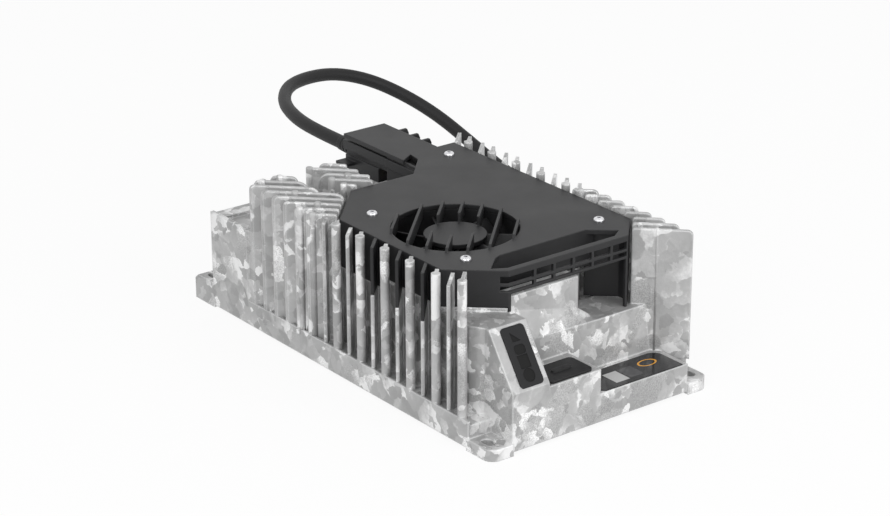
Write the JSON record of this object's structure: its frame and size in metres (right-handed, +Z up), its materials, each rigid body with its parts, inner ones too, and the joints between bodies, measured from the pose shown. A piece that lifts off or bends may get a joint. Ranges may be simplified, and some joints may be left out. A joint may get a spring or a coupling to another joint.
{
  "type": "fast battery charger",
  "caption": "Sealed battery charger: finned cast housing with foot tabs, black fan cover with carry pocket and outlet grille, mains cord under a neck, status panel and rubber port cover.",
  "frame": {"origin": "centre of the four foot slots, on the plane that the foot tabs stand on", "axes": "+X along the case towards the display end, -Y towards the long side that the picture shows, +Z up"},
  "size_m": [0.5092, 0.3319, 0.1152],
  "materials": {
    "cast_aluminium": "raw casting, mottled, satin",
    "black_rubber": "soft, dull",
    "clamp_metal": "extruded bar",
    "screw_steel": "bright zinc",
    "black_moulding": "fine grained moulding",
    "contact_brass": "plated",
    "panel_foil": "flat foil with sunk signs",
    "component_grey": "moulded case",
    "gloss_label": "glossy film",
    "circuit_board": "solder resist",
    "ferrite": "sintered",
    "copper_winding": "lacquered wire",
    "capacitor_sleeve": "shrunk sleeve",
    "ceramic_white": "glazed",
    "silicone_pad": "soft sheet"
  },
  "bodies": {
    "case": {"heat_sink_housing": "cast_aluminium", "base_gasket": "black_rubber", "base_plate": "clamp_metal", "base_screws": "screw_steel", "fan_cover": "black_moulding", "fan_cover_screws": "screw_steel", "fan_frame": "black_moulding", "fan_screws": "screw_steel", "mains_socket": "black_moulding", "mains_blades": "contact_brass", "cord_connector_body": "black_moulding", "strain_relief": "black_rubber", "indicator_panel": "panel_foil", "port_cover": "black_rubber", "port_socket": "component_grey", "label_plate": "gloss_label", "board_spacers": "contact_brass", "main_circuit_board": "circuit_board", "board_screws": "screw_steel", "transformer_core": "ferrite", "transformer_winding": "copper_winding", "input_choke": "copper_winding", "output_choke": "copper_winding", "bulk_capacitors": "capacitor_sleeve", "filter_capacitors": "component_grey", "inrush_relay": "component_grey", "mains_fuse": "ceramic_white", "control_board": "circuit_board", "thermal_pad": "silicone_pad", "power_transistors": "ferrite", "transistor_clamp": "clamp_metal", "output_socket": "black_moulding", "output_pins": "contact_brass", "output_screws": "screw_steel", "lead_grommet": "black_rubber", "fan_lead": "black_rubber", "cord_tube": "black_rubber", "cord_coil": "black_rubber", "cord_plug": "black_rubber", "plug_pins": "contact_brass"},
    "rotor": {"fan_rotor": "black_moulding"}
  },
  "joints": [
    {"name": "fan_spin", "type": "hinge", "parent": "case", "child": "rotor", "pos_m": [0.0496, -0.027, 0.09], "axis": [0, 0, 1], "continuous": true}
  ]
}
